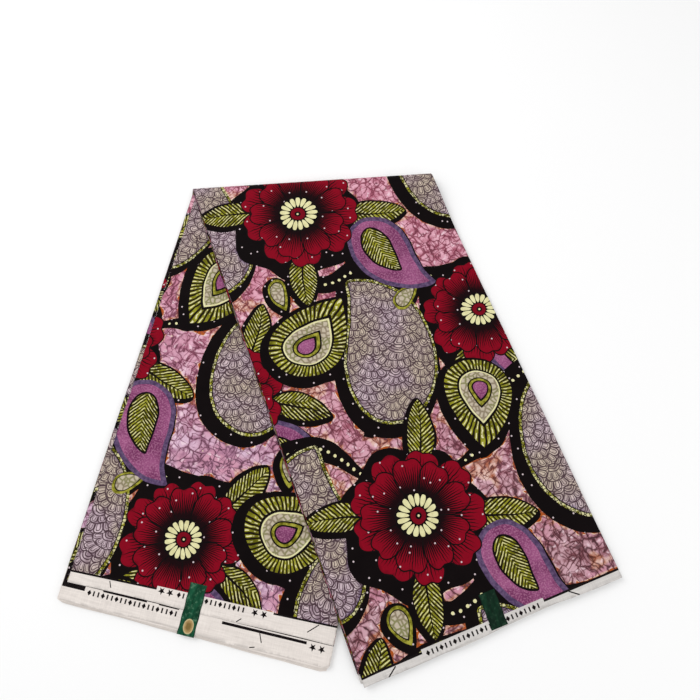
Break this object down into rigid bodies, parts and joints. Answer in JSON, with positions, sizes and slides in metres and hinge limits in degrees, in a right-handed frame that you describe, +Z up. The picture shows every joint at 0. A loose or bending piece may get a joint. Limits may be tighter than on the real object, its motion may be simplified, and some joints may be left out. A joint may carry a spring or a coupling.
{
  "type": "ankara fabric",
  "caption": "Wax printed cotton cloth, fan folded into a long strip and folded once on a slant, so that its two halves lie as an upside down V",
  "frame": {"origin": "the middle of the object's bounding box in plan, on the surface that it lies on", "axes": "+X along the fold, with the front leg ending at +X and the back leg at -X; +Y from the leg ends towards the fold; +Z up from the surface"},
  "size_m": [0.6466, 0.6306, 0.0159],
  "materials": {
    "printed_cotton": "crisp printed cotton with a faint calendered sheen",
    "layer_edges": "edges of the folded cotton layers and their undyed selvedge",
    "label_paper": "glossy dark green paper label"
  },
  "bodies": {
    "root": {"hidden_layers": "layer_edges", "back_panel": "printed_cotton", "front_panel": "printed_cotton", "back_label": "label_paper", "front_label": "label_paper"}
  },
  "joints": []
}
